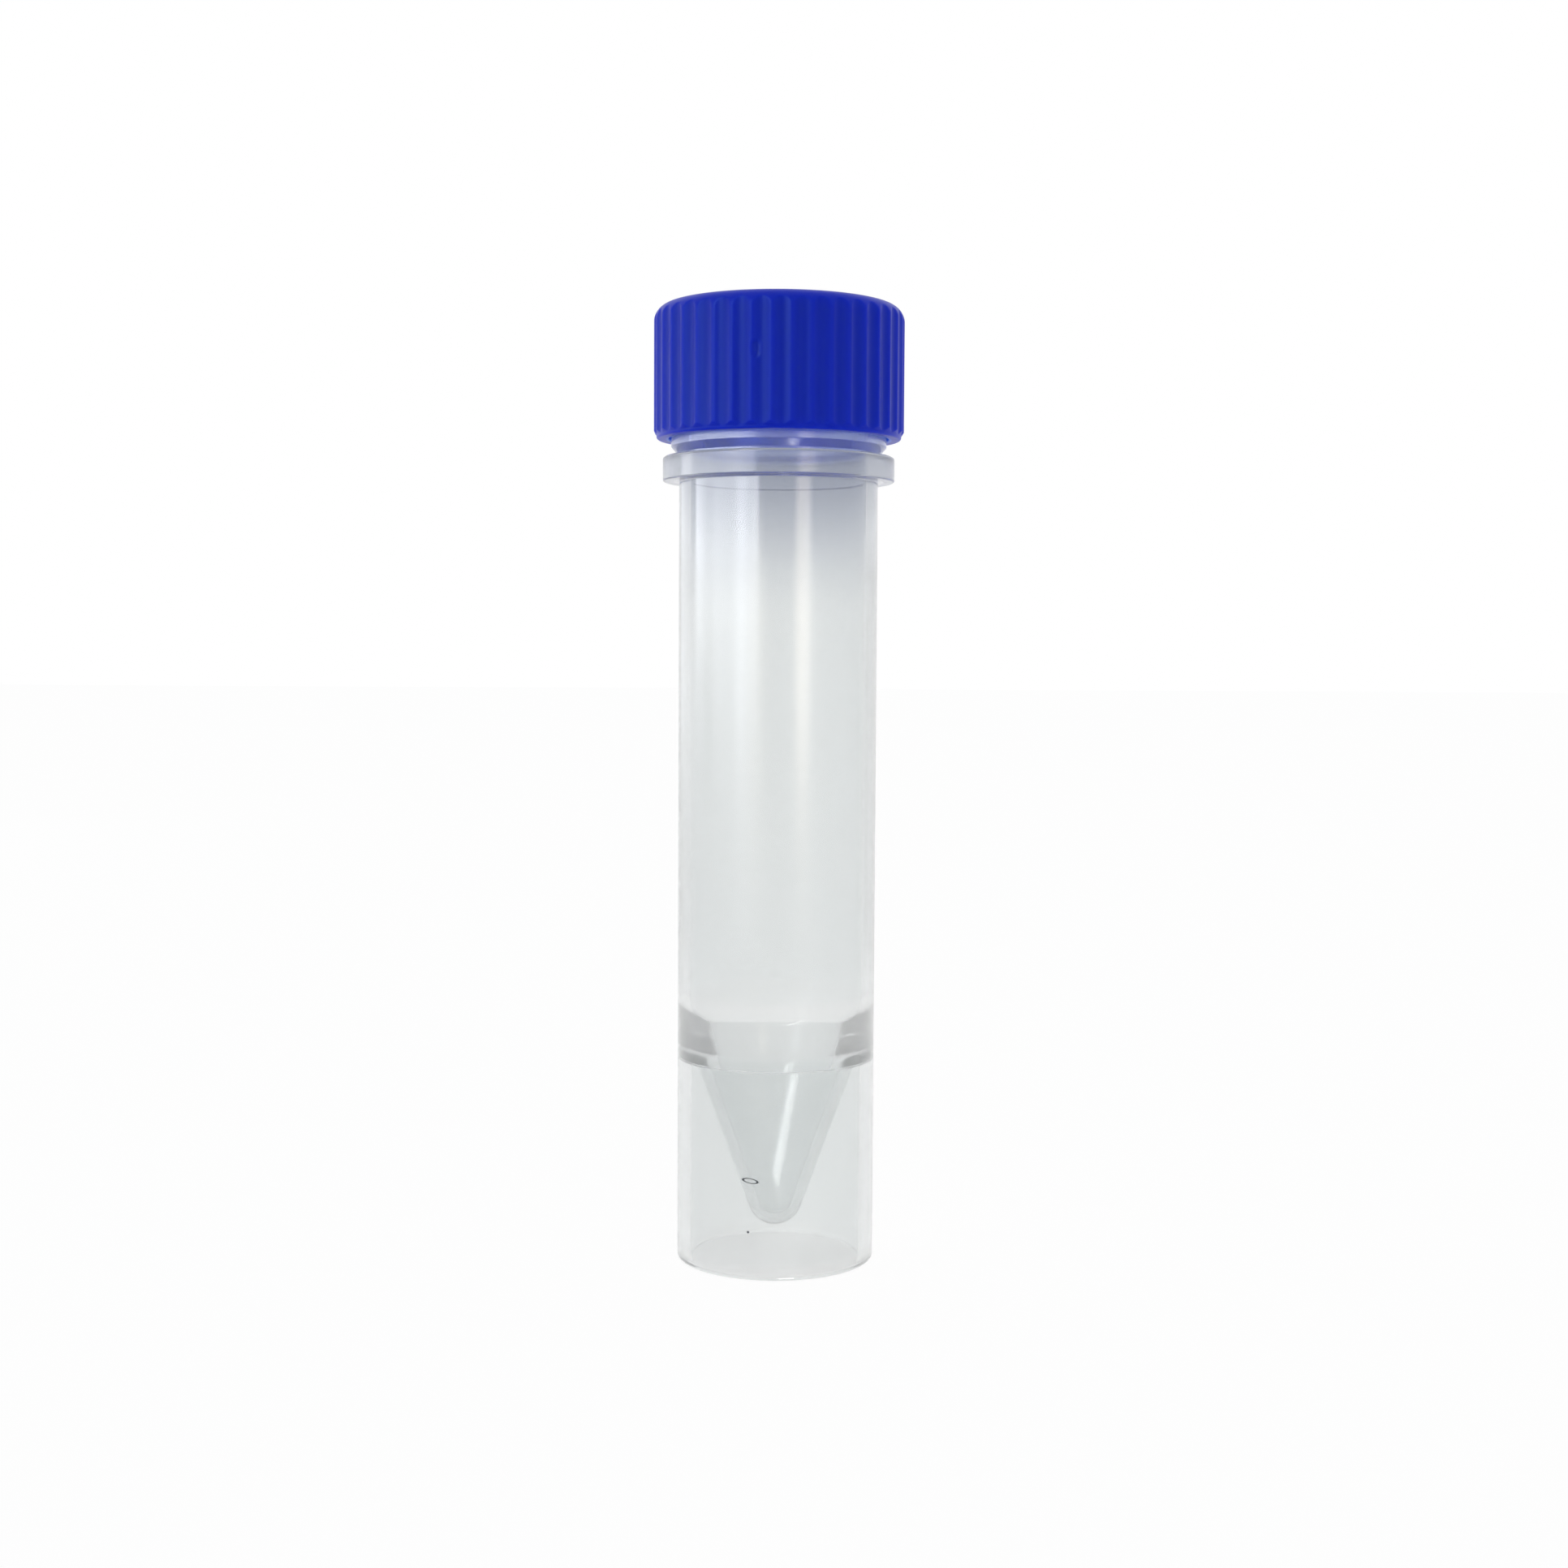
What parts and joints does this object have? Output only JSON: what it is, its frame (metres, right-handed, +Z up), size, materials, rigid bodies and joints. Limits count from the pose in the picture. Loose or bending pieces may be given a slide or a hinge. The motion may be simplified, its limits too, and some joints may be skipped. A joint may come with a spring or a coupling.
{
  "type": "self-standing conical screw cap tube",
  "caption": "Translucent conical sample tube that stands on its own open skirt, with a collar, a ribbed screw cap and a soft sealing washer.",
  "frame": {"origin": "centre of the ring that the tube stands on", "axes": "+Z up along the tube's axis from the standing ring to the cap, +X to the right and +Y away from the viewer in the front view"},
  "size_m": [0.0206, 0.0206, 0.079],
  "materials": {
    "tube": "natural translucent polypropylene, injection moulded, semi-gloss",
    "cap": "blue coloured polyethylene, injection moulded, satin",
    "sealing_washer": "white silicone rubber, matt"
  },
  "bodies": {
    "tube": {"tube": "tube"},
    "washer": {"sealing_washer": "sealing_washer"},
    "cap": {"cap": "cap"}
  },
  "joints": [
    {"name": "cap_lift", "type": "slide", "parent": "tube", "child": "washer", "axis": [0, 0, 1], "range_m": [0, 0.012]},
    {"name": "cap_turn", "type": "hinge", "parent": "washer", "child": "cap", "pos_m": [0, 0, 0.0768], "axis": [0, 0, 1], "range_deg": [0, 1440]}
  ],
  "couplings": [
    {"joint": "cap_lift", "follows": "cap_turn", "m_per_rad": 0.00047746}
  ]
}
